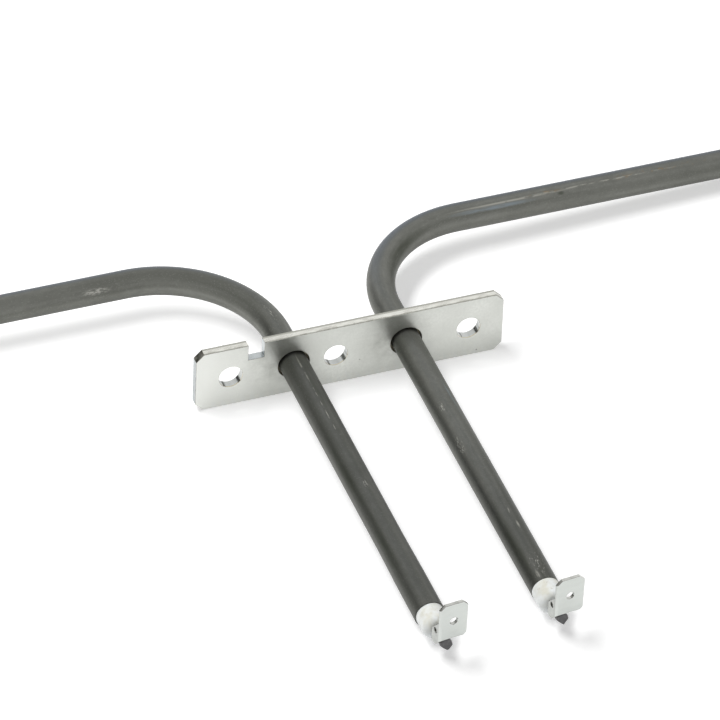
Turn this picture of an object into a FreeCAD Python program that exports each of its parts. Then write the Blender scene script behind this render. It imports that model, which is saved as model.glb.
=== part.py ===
# Tubular heating element: a bent steel sheath with its powder, wire coil and terminal pins,
# a screw-on plate and a blade terminal on each leg.
# Origin: middle of the plate's mounting face. +X runs along the plate, +Y into the heated
# room where the loop lies, +Z up. The loop and both legs lie in the plane Z = 0.

import FreeCAD, Part
import Sketcher
import os

V = FreeCAD.Vector

# Driving dimensions in millimetres. Each becomes a named cell of the sheet.
SIZES = {
    # sheath
    "tube_diameter": 6.4,
    "tube_wall": 0.55,
    "fit_play": 0.05,
    # route of the loop, measured on the tube's centre line
    "leg_pitch": 26.0,
    "leg_reach": 85.5,
    "leg_tail": 10.6,
    "left_bend_radius": 26.3,
    "bend_radius": 25.0,
    "loop_width": 330.0,
    "loop_depth": 262.0,
    # plate
    "plate_length": 71.0,
    "plate_height": 15.4,
    "plate_thickness": 2.0,
    "plate_corner": 1.8,
    "screw_span": 55.0,
    "screw_bore": 5.5,
    "middle_screw_shift": 3.3,
    "leg_hole_play": 0.45,
    "notch_shift": 21.7,
    "notch_width": 3.7,
    "notch_depth": 4.0,
    "braze_depth": 0.8,
    "braze_leg": 1.6,
    # terminal pins and the wire coil between them
    "pin_diameter": 2.5,
    "pin_stickout": 10.3,
    "pin_chamfer": 0.2,
    "weld_flat_depth": 0.15,
    "cold_margin": 4.0,
    "spigot_diameter": 1.7,
    "spigot_length": 6.0,
    "coil_diameter": 2.7,
    # end seals and ceramic beads
    "bead_diameter": 6.2,
    "bead_collar": 5.3,
    "bead_round": 1.4,
    "bead_spigot": 4.0,
    "seal_length": 6.0,
    # blade terminals
    "blade_width": 6.3,
    "blade_thickness": 0.8,
    "blade_height": 9.4,
    "blade_lift": 0.5,
    "blade_lead": 0.2,
    "blade_corner": 1.2,
    "blade_heel": 0.6,
    "blade_hole": 1.8,
    "foot_length": 3.7,
    "foot_drop": 0.5,
    "foot_rear_rise": 2.9,
    "foot_front_rise": 6.2,
    "foot_slope": 2.0,
    "foot_corner": 0.5,
    "foot_hole": 1.3,
    "foot_hole_rise": 3.35,
    "foot_hole_inset": 1.6,
    "bend_round": 0.5,
}

doc = FreeCAD.newDocument("HeatingElement")


class Size:
    """A length: its number now, and the formula that ties it to the sheet."""

    def __init__(self, number, formula=None):
        self.number = float(number)
        self.formula = formula or repr(float(number))

    def joined(self, other, number, sign):
        return Size(number, f"({self.formula} {sign} {other.formula})")

    def __add__(self, other):
        other = as_size(other)
        return self.joined(other, self.number + other.number, "+")

    def __sub__(self, other):
        other = as_size(other)
        return self.joined(other, self.number - other.number, "-")

    def __mul__(self, factor):
        return self.joined(as_size(factor), self.number * factor, "*")

    def __truediv__(self, factor):
        return self.joined(as_size(factor), self.number / factor, "/")

    def __neg__(self):
        return Size(-self.number, f"(-1 * {self.formula})")


def as_size(value):
    return value if isinstance(value, Size) else Size(value)


def make_sheet():
    """Write the driving dimensions into the sheet and hand them back by name."""
    sheet = doc.addObject("Spreadsheet::Sheet", "Sizes")
    for row, (name, value) in enumerate(SIZES.items(), 1):
        sheet.set(f"A{row}", name.replace("_", " "))
        sheet.set(f"B{row}", str(value))
        sheet.setAlias(f"B{row}", name)
    doc.recompute()
    return {name: Size(sheet.get(name), f"Sizes.{name}") for name in SIZES}


S = make_sheet()
ZERO = Size(0)

# Places that several pieces share, worked out from the sheet.
TUBE_RADIUS = S["tube_diameter"] / 2
BORE_RADIUS = TUBE_RADIUS - S["tube_wall"]
PIN_RADIUS = S["pin_diameter"] / 2
LEG_X = S["leg_pitch"] / 2
RUN_Y = S["leg_tail"] + S["left_bend_radius"]
PIN_HOLE_RADIUS = PIN_RADIUS + S["fit_play"]
LEG_HOLE_RADIUS = TUBE_RADIUS + S["leg_hole_play"]

# Stations along a leg, as distances in front of the plate's face, towards -Y.
TUBE_END = S["leg_reach"]
BEAD_FRONT = TUBE_END + S["bead_collar"]
BEAD_BACK = TUBE_END - S["bead_spigot"]
SEAL_BACK = BEAD_BACK - S["seal_length"]
PIN_FRONT = TUBE_END + S["pin_stickout"]
BLADE_FRONT = PIN_FRONT + S["blade_lead"]
FOOT_BACK = BLADE_FRONT - S["foot_length"]

# Stations behind the plate's face, towards +Y.
PIN_BACK = S["leg_tail"] - S["cold_margin"]
COIL_START = PIN_BACK - S["spigot_length"]


def bind(thing, prop, size):
    """Give a property its formula, so that it follows the sheet."""
    thing.setExpression(prop, size.formula)


def new_body(label):
    body = doc.addObject("PartDesign::Body", label)
    body.Label = label
    return body


def new_sketch(body, name, role, lift=None):
    """A sketch on one of the body's origin planes, lifted along its normal."""
    plane = [f for f in body.Origin.OriginFeatures if f.Role == role][0]
    sketch = body.newObject("Sketcher::SketchObject", f"{body.Label}_{name}")
    sketch.AttachmentSupport = [(plane, "")]
    sketch.MapMode = "FlatFace"
    if lift is not None:
        bind(sketch, "AttachmentOffset.Base.z", lift)
    return sketch


def constrain(sketch, *terms):
    return sketch.addConstraint(Sketcher.Constraint(*terms))


def dimension(sketch, kind, size, *terms):
    """Add a dimension and tie it to the sheet under a name of its own."""
    index = constrain(sketch, kind, *terms, size.number)
    name = f"{kind}_{index}"
    sketch.renameConstraint(index, name)
    bind(sketch, f"Constraints.{name}", size)


def fix_point(sketch, geometry, end, x, y):
    """Hold one point of the sketch at x, y from the origin."""
    for kind, axis, size in (("DistanceX", -2, x), ("DistanceY", -1, y)):
        if size is ZERO:
            constrain(sketch, "PointOnObject", geometry, end, axis)
        else:
            dimension(sketch, kind, size, -1, 1, geometry, end)


def touching_ends(sketch, first, second):
    """The ends at which two neighbouring pieces of a sketch meet."""
    pairs = [(a, b) for a in (1, 2) for b in (1, 2)]
    return min(pairs, key=lambda p: (sketch.getPoint(first, p[0]) - sketch.getPoint(second, p[1])).Length)


def add_circle(sketch, x, y, radius):
    circle = Part.Circle(V(x.number, y.number, 0), V(0, 0, 1), radius.number)
    index = sketch.addGeometry(circle, False)
    dimension(sketch, "Radius", radius, index)
    fix_point(sketch, index, 3, x, y)


def add_outline(sketch, corners):
    """A closed outline through corners held at their own x and y."""
    points = [V(x.number, y.number, 0) for x, y in corners]
    lines = []
    for start, stop in zip(points, points[1:] + points[:1]):
        lines.append(sketch.addGeometry(Part.LineSegment(start, stop), False))
    for line, following in zip(lines, lines[1:] + lines[:1]):
        constrain(sketch, "Coincident", line, 2, following, 1)
    for line, (x, y) in zip(lines, corners):
        fix_point(sketch, line, 1, x, y)


def pad(body, name, sketch, length, backwards=False):
    feature = body.newObject("PartDesign::Pad", f"{body.Label}_{name}")
    feature.Profile = sketch
    bind(feature, "Length", length)
    feature.Reversed = backwards
    return feature


def pocket(body, name, sketch, depth, backwards=False):
    feature = body.newObject("PartDesign::Pocket", f"{body.Label}_{name}")
    feature.Profile = sketch
    bind(feature, "Length", depth)
    feature.Reversed = backwards
    return feature


def turned(body, name, corners):
    """A piece turned about the leg's axis. Corners are radius and place along Y."""
    sketch = new_sketch(body, f"{name}_profile", "XY_Plane")
    add_outline(sketch, corners)
    feature = body.newObject("PartDesign::Revolution", f"{body.Label}_{name}")
    feature.Profile = sketch
    feature.ReferenceAxis = (sketch, ["V_Axis"])
    feature.Angle = 360
    return feature


def rounded(body, name, base, radius, is_wanted):
    """Round the edges of a feature that the test picks."""
    doc.recompute()
    edges = [f"Edge{i}" for i, edge in enumerate(base.Shape.Edges, 1) if is_wanted(edge)]
    feature = body.newObject("PartDesign::Fillet", f"{body.Label}_{name}")
    feature.Base = (base, edges)
    bind(feature, "Radius", radius)
    return feature


def loop_path(body, name, leg_end):
    """The tube's centre line: leg, bend, half of the loop, and back again.

    leg_end is the Y at which both legs end.
    """
    side_x = S["loop_width"] / 2
    far_y = RUN_Y + S["loop_depth"]
    left = [(-LEG_X, leg_end), (-LEG_X, RUN_Y), (-side_x, RUN_Y), (-side_x, far_y)]
    right = [(side_x, far_y), (side_x, RUN_Y), (LEG_X, RUN_Y), (LEG_X, leg_end)]
    corners = left + right
    points = [V(x.number, y.number, 0) for x, y in corners]
    radii = [S["left_bend_radius"]] + [S["bend_radius"]] * 5
    sketch = new_sketch(body, name, "XY_Plane")

    pieces = []
    start = points[0]
    for before, corner, after, radius in zip(points, points[1:], points[2:], radii):
        back = (before - corner).normalize() * radius.number
        ahead = (after - corner).normalize() * radius.number
        centre = corner + back + ahead
        middle = centre + (corner - centre).normalize() * radius.number
        pieces.append(sketch.addGeometry(Part.LineSegment(start, corner + back), False))
        pieces.append(sketch.addGeometry(Part.Arc(corner + back, middle, corner + ahead), False))
        start = corner + ahead
    pieces.append(sketch.addGeometry(Part.LineSegment(start, points[-1]), False))

    lines = pieces[::2]
    arcs = pieces[1::2]
    for piece, following in zip(pieces, pieces[1:]):
        end, begin = touching_ends(sketch, piece, following)
        constrain(sketch, "Tangent", piece, end, following, begin)
    for index, line in enumerate(lines):
        constrain(sketch, "Horizontal" if index % 2 else "Vertical", line)
    for arc, radius in zip(arcs[:2], radii):
        dimension(sketch, "Radius", radius, arc)
    for arc in arcs[2:]:
        constrain(sketch, "Equal", arcs[1], arc)

    fix_point(sketch, lines[0], 1, *corners[0])
    fix_point(sketch, lines[6], 2, *corners[-1])
    dimension(sketch, "DistanceY", RUN_Y, -1, 1, lines[1], 1)
    dimension(sketch, "DistanceY", RUN_Y, -1, 1, lines[5], 1)
    dimension(sketch, "DistanceX", -side_x, -1, 1, lines[2], 1)
    dimension(sketch, "DistanceX", side_x, -1, 1, lines[4], 1)
    dimension(sketch, "DistanceY", far_y, -1, 1, lines[3], 1)
    return sketch


def swept(body, name, kind, leg_end, radii):
    """Sweep concentric circles along the loop, from one leg's end to the other's."""
    path = loop_path(body, f"{name}_path", leg_end)
    section = new_sketch(body, f"{name}_section", "XZ_Plane", -leg_end)
    for radius in radii:
        add_circle(section, -LEG_X, ZERO, radius)
    doc.recompute()
    feature = body.newObject(kind, f"{body.Label}_{name}")
    feature.Profile = section
    feature.Spine = (path, [f"Edge{i + 1}" for i in range(len(path.Shape.Edges))])
    return feature


def leg_bores(body, name, front, radius, depth):
    """Bore both legs from a plane in front of the plate, inwards."""
    sketch = new_sketch(body, f"{name}_circles", "XZ_Plane", front)
    add_circle(sketch, -LEG_X, ZERO, radius)
    add_circle(sketch, LEG_X, ZERO, radius)
    return pocket(body, name, sketch, depth)


def make_sheath():
    """One seamless tube, bent six times in one plane."""
    body = new_body("sheath")
    swept(body, "tube", "PartDesign::AdditivePipe", -TUBE_END, [TUBE_RADIUS, BORE_RADIUS])


def make_filling():
    """Pressed magnesia powder that holds the coil and the pins in the tube's middle."""
    body = new_body("magnesia_filling")
    core = BORE_RADIUS - S["fit_play"]
    channel = S["coil_diameter"] / 2 + S["fit_play"]
    swept(body, "core", "PartDesign::AdditivePipe", -SEAL_BACK, [core])
    swept(body, "channel", "PartDesign::SubtractivePipe", COIL_START, [channel])
    leg_bores(body, "pin_bores", SEAL_BACK, PIN_HOLE_RADIUS, SEAL_BACK + COIL_START)


def make_coil():
    """Envelope of the wound resistance wire, its end turns gripping the pins' spigots."""
    body = new_body("resistance_coil")
    grip = S["spigot_diameter"] / 2 + S["fit_play"]
    swept(body, "winding", "PartDesign::AdditivePipe", COIL_START, [S["coil_diameter"] / 2])
    leg_bores(body, "end_turns", -COIL_START, grip, S["spigot_length"] + S["fit_play"])


def make_plate():
    """Blanked steel plate with two leg holes, three screw holes and an edge notch."""
    body = new_body("mounting_plate")
    right = S["plate_length"] / 2
    top = S["plate_height"] / 2
    corner = S["plate_corner"]
    notch_left = -(S["notch_shift"] + S["notch_width"] / 2)
    notch_right = -(S["notch_shift"] - S["notch_width"] / 2)
    notch_floor = top - S["notch_depth"]
    outline = new_sketch(body, "outline", "XZ_Plane")
    add_outline(outline, [
        (-right + corner, -top), (right - corner, -top),
        (right, -top + corner), (right, top - corner),
        (right - corner, top), (notch_right, top),
        (notch_right, notch_floor), (notch_left, notch_floor),
        (notch_left, top), (-right + corner, top),
        (-right, top - corner), (-right, -top + corner),
    ])
    holes = [
        (-LEG_X, LEG_HOLE_RADIUS),
        (LEG_X, LEG_HOLE_RADIUS),
        (-(S["screw_span"] / 2), S["screw_bore"] / 2),
        (-S["middle_screw_shift"], S["screw_bore"] / 2),
        (S["screw_span"] / 2, S["screw_bore"] / 2),
    ]
    for x, radius in holes:
        add_circle(outline, x, ZERO, radius)
    pad(body, "blank", outline, S["plate_thickness"], backwards=True)


def on_leg(body, leg_x):
    """Move a piece modelled on the origin's axis onto one of the legs."""
    bind(body, "Placement.Base.x", leg_x)


def make_braze(side, leg_x):
    """Ring of filler metal that holds the tube in the plate, behind it."""
    body = new_body(f"{side}_braze_ring")
    back = S["plate_thickness"]
    turned(body, "fillet", [
        (TUBE_RADIUS, back - S["braze_depth"]),
        (LEG_HOLE_RADIUS, back - S["braze_depth"]),
        (LEG_HOLE_RADIUS, back),
        (LEG_HOLE_RADIUS + S["braze_leg"], back),
        (LEG_HOLE_RADIUS + S["braze_leg"] / 3, back + S["braze_leg"] / 3),
        (TUBE_RADIUS, back + S["braze_leg"]),
    ])
    on_leg(body, leg_x)


def make_pin(side, leg_x):
    """Cold terminal pin: cropped end outside, turned-down spigot for the coil inside."""
    body = new_body(f"{side}_terminal_pin")
    spigot = S["spigot_diameter"] / 2
    turned(body, "pin", [
        (ZERO, -PIN_FRONT),
        (PIN_RADIUS - S["pin_chamfer"], -PIN_FRONT),
        (PIN_RADIUS, S["pin_chamfer"] - PIN_FRONT),
        (PIN_RADIUS, COIL_START),
        (spigot, COIL_START),
        (spigot, PIN_BACK),
        (ZERO, PIN_BACK),
    ])
    flat = new_sketch(body, "weld_flat_side", "YZ_Plane", S["weld_flat_depth"] - PIN_RADIUS)
    add_outline(flat, [
        (-FOOT_BACK, -PIN_RADIUS), (-FOOT_BACK, PIN_RADIUS),
        (-BLADE_FRONT, PIN_RADIUS), (-BLADE_FRONT, -PIN_RADIUS),
    ])
    pocket(body, "weld_flat", flat, S["weld_flat_depth"])
    on_leg(body, leg_x)


def make_bead(side, leg_x):
    """Ceramic bead: a collar against the tube's rim and a spigot inside the bore."""
    body = new_body(f"{side}_ceramic_bead")
    collar = S["bead_diameter"] / 2
    spigot = BORE_RADIUS - S["fit_play"]
    blank = turned(body, "bead", [
        (PIN_HOLE_RADIUS, -BEAD_FRONT), (collar, -BEAD_FRONT), (collar, -TUBE_END),
        (spigot, -TUBE_END), (spigot, -BEAD_BACK), (PIN_HOLE_RADIUS, -BEAD_BACK),
    ])
    front = -BEAD_FRONT.number

    def is_front_rim(edge):
        at_front = abs(edge.BoundBox.YMin - front) < 0.01 and edge.BoundBox.YLength < 0.01
        return at_front and edge.BoundBox.XLength > 2 * PIN_HOLE_RADIUS.number + 0.1

    rounded(body, "dome", blank, S["bead_round"], is_front_rim)
    on_leg(body, leg_x)


def make_seal(side, leg_x):
    """Soft plug that keeps moisture out of the powder, behind the bead."""
    body = new_body(f"{side}_end_seal")
    outside = BORE_RADIUS - S["fit_play"]
    turned(body, "plug", [
        (PIN_HOLE_RADIUS, -BEAD_BACK), (outside, -BEAD_BACK),
        (outside, -SEAL_BACK), (PIN_HOLE_RADIUS, -SEAL_BACK),
    ])
    on_leg(body, leg_x)


def make_blade(side, leg_x):
    """Blade terminal bent from one strip: an upright blade and a foot welded to the pin."""
    body = new_body(f"{side}_blade_terminal")
    foot_face = PIN_RADIUS - S["weld_flat_depth"]
    left = -(foot_face + S["blade_thickness"])
    right = left + S["blade_width"]
    bottom = PIN_RADIUS + S["blade_lift"]
    top = bottom + S["blade_height"]
    corner = S["blade_corner"]
    heel = S["blade_heel"]
    blade = new_sketch(body, "blade_outline", "XZ_Plane", BLADE_FRONT)
    add_outline(blade, [
        (left, bottom), (right - heel, bottom), (right, bottom + heel),
        (right, top - corner), (right - corner, top),
        (left + corner, top), (left, top - corner),
    ])
    add_circle(blade, left + S["blade_width"] / 2, bottom + S["blade_height"] / 2, S["blade_hole"] / 2)
    pad(body, "blade", blade, S["blade_thickness"], backwards=True)

    back = -FOOT_BACK
    front = -BLADE_FRONT
    inside = S["blade_thickness"] - BLADE_FRONT
    drop = -S["foot_drop"]
    nip = S["foot_corner"]
    foot = new_sketch(body, "foot_outline", "YZ_Plane", left)
    add_outline(foot, [
        (back - nip, drop), (back, drop + nip), (back, S["foot_rear_rise"]),
        (inside, S["foot_front_rise"]), (front, S["foot_front_rise"]),
        (front, bottom), (front + S["foot_slope"], drop),
    ])
    add_circle(foot, back - S["foot_hole_inset"], S["foot_hole_rise"], S["foot_hole"] / 2)
    strip = pad(body, "foot", foot, S["blade_thickness"])

    def is_bend(edge):
        box = edge.BoundBox
        upright = box.XLength < 0.01 and box.YLength < 0.01
        at_corner = abs(box.XMin - left.number) < 0.01 and abs(box.YMin - front.number) < 0.01
        return upright and at_corner

    rounded(body, "bend", strip, S["bend_round"], is_bend)
    on_leg(body, leg_x)


def check_and_export():
    """Stop on any failed object, then write one file for each piece."""
    doc.recompute()
    for thing in doc.Objects:
        if "Invalid" in thing.State or "Error" in thing.State:
            raise RuntimeError(f"{thing.Name} failed: {thing.State}")
    os.makedirs("parts", exist_ok=True)
    for body in doc.findObjects("PartDesign::Body"):
        shape = body.Shape
        if shape.isNull() or not shape.isValid():
            raise RuntimeError(f"{body.Label} has no valid shape")
        shape.exportStep(os.path.join("parts", f"{body.Label}.step"))
        print(f"{body.Label}: {len(shape.Solids)} solid, {shape.Volume:.2f} cubic mm")


make_sheath()
make_filling()
make_coil()
make_plate()
for side, leg_x in (("left", -LEG_X), ("right", LEG_X)):
    make_braze(side, leg_x)
    make_pin(side, leg_x)
    make_seal(side, leg_x)
    make_bead(side, leg_x)
    make_blade(side, leg_x)
check_and_export()
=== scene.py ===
# %% [markdown]
# # A tubular heating element
#
# This lesson dresses a finished model of an oven's heating element: a bent steel tube whose two
# legs pass through a small screw plate and end in a ceramic bead and a blade terminal.
# The model's solids arrive as a fixed frame. Each cell below makes one piece, finish or light.

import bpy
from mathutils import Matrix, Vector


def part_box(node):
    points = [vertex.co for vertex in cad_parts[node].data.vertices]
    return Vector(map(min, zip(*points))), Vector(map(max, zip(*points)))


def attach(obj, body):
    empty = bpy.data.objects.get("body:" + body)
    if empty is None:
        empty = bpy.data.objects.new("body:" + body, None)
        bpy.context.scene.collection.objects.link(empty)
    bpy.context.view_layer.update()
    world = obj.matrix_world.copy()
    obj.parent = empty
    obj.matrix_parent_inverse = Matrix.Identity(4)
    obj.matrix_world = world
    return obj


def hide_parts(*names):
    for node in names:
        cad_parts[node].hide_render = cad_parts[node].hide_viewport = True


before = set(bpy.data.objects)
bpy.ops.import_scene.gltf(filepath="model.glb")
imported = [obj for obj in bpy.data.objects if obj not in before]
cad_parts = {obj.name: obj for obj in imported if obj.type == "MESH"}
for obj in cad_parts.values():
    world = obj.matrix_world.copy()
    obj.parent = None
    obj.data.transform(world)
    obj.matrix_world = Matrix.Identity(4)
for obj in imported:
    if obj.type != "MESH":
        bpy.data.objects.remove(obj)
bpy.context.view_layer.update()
print("solids in the frame:", ", ".join(sorted(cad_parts)))

# %% Tools used in every cell
import math

import bmesh
import bpy
from mathutils import Matrix, Vector, noise

MM = 0.001
SIDES = ("left", "right")
print("Blender", bpy.app.version_string, "works in metres, and one MM is", MM)

# %% [markdown]
# ## Places taken from the frame
#
# Every size that the solids already hold is read from their boxes, so that a new piece lands
# exactly where the solid is. The loop's own bends can't be read from a box, so their radii,
# the tube's wall and the distance from the plate to the runs are written here as real sizes.

# %% Read the places
sheath_low, sheath_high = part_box("sheath")
plate_low, plate_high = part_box("mounting_plate")
TUBE_RADIUS = (sheath_high.z - sheath_low.z) / 2
TUBE_WALL = 0.55 * MM
TUBE_BORE = TUBE_RADIUS - TUBE_WALL
TUBE_END_Y = sheath_low.y
SIDE_X = sheath_high.x - TUBE_RADIUS
FAR_Y = sheath_high.y - TUBE_RADIUS
RUN_Y = 36.9 * MM
LEFT_BEND = 26.3 * MM
BEND = 25.0 * MM
LEG_X = {}
for side in SIDES:
    pin_low, pin_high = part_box(f"{side}_terminal_pin")
    LEG_X[side] = (pin_low.x + pin_high.x) / 2
FLOOR_Z = plate_low.z
leg_gap = LEG_X["right"] - LEG_X["left"]
print(f"tube {2 * TUBE_RADIUS / MM:.1f} mm thick, legs {leg_gap / MM:.1f} mm apart")

# %% [markdown]
# ## Camera
#
# The photograph was taken from in front and above with a long lens, so its edges hardly
# converge. A camera is three facts: where it stands, which way its axes point, and its lens.
# The axes are built from the direction back to the camera, turned a little about itself.

# %% Place the camera
CAMERA_PLACE = Vector((-484.50, -1244.72, 1117.17)) * MM
TURN, RISE, ROLL = (math.radians(a) for a in (-21.363, 39.961, 2.419))
LENS_LENGTH, SENSOR_WIDTH = 400, 36


def add_camera():
    back = Vector((
        math.sin(TURN) * math.cos(RISE),
        -math.cos(TURN) * math.cos(RISE),
        math.sin(RISE),
    ))
    level = Vector((math.cos(TURN), math.sin(TURN), 0))
    upright = back.cross(level)
    across = math.cos(ROLL) * level + math.sin(ROLL) * upright
    up = back.cross(across)
    data = bpy.data.cameras.new("view")
    data.lens = LENS_LENGTH
    data.sensor_width = SENSOR_WIDTH
    data.clip_start = 0.1
    data.clip_end = 20
    camera = bpy.data.objects.new("view", data)
    turned = Matrix((across, up, back)).transposed().to_4x4()
    camera.matrix_world = Matrix.Translation(CAMERA_PLACE) @ turned
    bpy.context.scene.collection.objects.link(camera)
    bpy.context.scene.camera = camera
    return camera


camera = add_camera()
print("camera stands", round(camera.location.length, 2), "m away")

# %% [markdown]
# ## Helpers for materials
#
# Every finish below is a small tree of nodes. These helpers start a material, add a node, let
# an input follow a socket or hold a plain value, and do one step of arithmetic. A pattern
# reads the place of a point on its own piece, in metres, so it stays put when the piece moves.

# %% Start a material and add to it
def new_material(name):
    material = bpy.data.materials.new(name)
    material.use_nodes = True
    tree = material.node_tree
    tree.nodes.clear()
    print("material", name)
    return material, tree


def add_node(tree, kind, **settings):
    """A node with its plain settings and its unlinked inputs given by name."""
    node = tree.nodes.new(kind)
    for name, value in settings.items():
        if name in node.inputs:
            node.inputs[name].default_value = value
        else:
            setattr(node, name, value)
    return node


def feed(tree, slot, value):
    """Let an input follow a socket, or give it a plain value."""
    if isinstance(value, bpy.types.NodeSocket):
        tree.links.new(value, slot)
    else:
        slot.default_value = value


def put_on_surface(tree, shader):
    out = add_node(tree, "ShaderNodeOutputMaterial")
    tree.links.new(shader.outputs[0], out.inputs["Surface"])


print("materials that came with the frame:", len(bpy.data.materials))

# %% Arithmetic and places
def calculate(tree, operation, *values):
    """One arithmetic step. Each value is a socket or a number."""
    step = add_node(tree, "ShaderNodeMath", operation=operation)
    for slot, value in zip(step.inputs, values):
        feed(tree, slot, value)
    return step.outputs[0]


def window(tree, source, low, high, to_low=0.0, to_high=1.0):
    """Spread the part of a value between low and high over 0 to 1, or over another range."""
    spread = add_node(tree, "ShaderNodeMapRange")
    tree.links.new(source, spread.inputs["Value"])
    ends = {"From Min": low, "From Max": high, "To Min": to_low, "To Max": to_high}
    for name, value in ends.items():
        spread.inputs[name].default_value = value
    return spread.outputs[0]


def object_place(tree):
    """The place of a point on its own piece."""
    return add_node(tree, "ShaderNodeTexCoord").outputs["Object"]


def split_place(tree, place):
    """The x, y and z of a place, each as a number."""
    split = add_node(tree, "ShaderNodeSeparateXYZ")
    tree.links.new(place, split.inputs[0])
    return {axis: split.outputs[axis] for axis in "XYZ"}


print("the floor will lie at z =", round(FLOOR_Z / MM, 1), "mm")

# %% [markdown]
# ## Floor, lamps and background
#
# A wide soft lamp behind and to the left gives the pale shadow under the tube. The metal
# doesn't mirror the lamp, only the white room, so it shows its own colour. The floor is a
# sheet of white paper that curls up a little towards the terminals and to the right, and sags
# a little behind the plate at the left. The camera sees it brighter than it is lit, most of
# all behind the plate at the left, so it turns white and still keeps the shadow. The world is
# white wherever it is seen or mirrored, and dimmer as a light.

# %% Shape of the floor: each crease has its start, its end and its rise or share
FLOOR_SIZE = 4.0
CURL_FRONT = (-4 * MM, -100 * MM, 3.6 * MM)
CURL_RIGHT = (37 * MM, 110 * MM, 2.7 * MM)
SAG_BEHIND = (4 * MM, 30 * MM, -0.75 * MM)
SAG_FADES = (-10 * MM, 20 * MM, 1.0)


def cut_along(bm, point, normal, **settings):
    """Cut the whole mesh along a plane."""
    whole = list(bm.verts) + list(bm.edges) + list(bm.faces)
    return bmesh.ops.bisect_plane(bm, geom=whole, plane_co=point, plane_no=normal, **settings)


def share_between(value, low, high):
    """0 up to low, 1 from high on, and even in between."""
    return min(1.0, max(0.0, (value - low) / (high - low)))


def curl(place, start, end, rise):
    """Height gained between start and end, and kept beyond."""
    return rise * share_between(place, start, end)


def shape_floor():
    bm = bmesh.new()
    bmesh.ops.create_grid(bm, x_segments=1, y_segments=1, size=FLOOR_SIZE / 2)
    for axis, crease in ((0, CURL_RIGHT), (0, SAG_FADES), (1, CURL_FRONT), (1, SAG_BEHIND)):
        across = Vector((1 - axis, axis, 0))
        for place in crease[:2]:
            cut_along(bm, across * place, across)
    for vert in bm.verts:
        curled = curl(vert.co.y, *CURL_FRONT) + curl(vert.co.x, *CURL_RIGHT)
        sagging = 1 - curl(vert.co.x, *SAG_FADES)
        vert.co.z = FLOOR_Z + curled + sagging * curl(vert.co.y, *SAG_BEHIND)
    return bm


floor_shape = shape_floor()
print("floor has", len(floor_shape.faces), "fields between its creases")

# %% Floor
FLOOR_COLOUR = (0.82, 0.82, 0.82, 1)
FLOOR_LIFT = 0.38
LIFT_BEHIND = {"left": 0.18, "right": 0.08}
LIFT_ACROSS = (-20 * MM, 20 * MM)
LIFT_DEPTH = (0, 32 * MM)


def object_from(bm, name, materials):
    """Turn a bmesh into an object at the origin that wears the materials."""
    mesh = bpy.data.meshes.new(name)
    bm.to_mesh(mesh)
    bm.free()
    for material in materials:
        mesh.materials.append(material)
    made = bpy.data.objects.new(name, mesh)
    bpy.context.scene.collection.objects.link(made)
    return made


def seen_or_mirrored(tree):
    """1 for rays from the camera, off a mirror or through glass, otherwise 0."""
    path = add_node(tree, "ShaderNodeLightPath")
    either = calculate(
        tree, "MAXIMUM", path.outputs["Is Camera Ray"], path.outputs["Is Glossy Ray"]
    )
    return calculate(tree, "MAXIMUM", either, path.outputs["Is Transmission Ray"])


def lift_by_place(tree):
    """How much brighter the camera sees the floor: more behind the plate, most at the left."""
    place = split_place(tree, object_place(tree))
    extra = window(tree, place["X"], *LIFT_ACROSS, LIFT_BEHIND["left"], LIFT_BEHIND["right"])
    behind = window(tree, place["Y"], *LIFT_DEPTH)
    return calculate(tree, "MULTIPLY_ADD", extra, behind, FLOOR_LIFT)


def make_floor_white():
    material, tree = new_material("floor_white")
    matt = add_node(tree, "ShaderNodeBsdfDiffuse", Color=FLOOR_COLOUR)
    glow = add_node(tree, "ShaderNodeEmission")
    lift = calculate(tree, "MULTIPLY", seen_or_mirrored(tree), lift_by_place(tree))
    tree.links.new(lift, glow.inputs["Strength"])
    both = add_node(tree, "ShaderNodeAddShader")
    tree.links.new(matt.outputs[0], both.inputs[0])
    tree.links.new(glow.outputs[0], both.inputs[1])
    put_on_surface(tree, both)
    return material


floor = object_from(floor_shape, "floor", [make_floor_white()])
print("floor lies", round(-FLOOR_Z / MM, 1), "mm below the tube's centre line")

# %% World and lamp
WORLD_LEVEL = 0.33
LAMP_PLACE = (-0.46, 0.29, 1.14)
LAMP_AIM = (0.0, -0.03, 0.0)
LAMP_SIZE = (0.92, 0.36)
LAMP_POWER = 12.0


def add_world():
    world = bpy.data.worlds.new("studio")
    world.use_nodes = True
    tree = world.node_tree
    tree.nodes.clear()
    sky = add_node(tree, "ShaderNodeBackground", Color=(1, 1, 1, 1))
    out = add_node(tree, "ShaderNodeOutputWorld")
    level = window(tree, seen_or_mirrored(tree), 0, 1, WORLD_LEVEL, 1)
    tree.links.new(level, sky.inputs["Strength"])
    tree.links.new(sky.outputs[0], out.inputs["Surface"])
    bpy.context.scene.world = world


def add_softbox(name):
    data = bpy.data.lights.new(name, "AREA")
    data.shape = "RECTANGLE"
    data.size, data.size_y = LAMP_SIZE
    data.energy = LAMP_POWER
    lamp = bpy.data.objects.new(name, data)
    lamp.visible_glossy = False
    away = (Vector(LAMP_PLACE) - Vector(LAMP_AIM)).to_track_quat("Z", "Y")
    lamp.matrix_world = Matrix.Translation(LAMP_PLACE) @ away.to_matrix().to_4x4()
    bpy.context.scene.collection.objects.link(lamp)


add_world()
add_softbox("left_softbox")
bpy.context.scene.view_settings.view_transform = "Standard"
print("world at", WORLD_LEVEL, "and one softbox of", LAMP_POWER, "W")

# %% Dark card
CARD_PLACE = (-0.64, 0.66, 0.17)
CARD_SIZE = (0.62, 0.36)
CARD_COLOUR = (0.03, 0.03, 0.03, 1)


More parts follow.
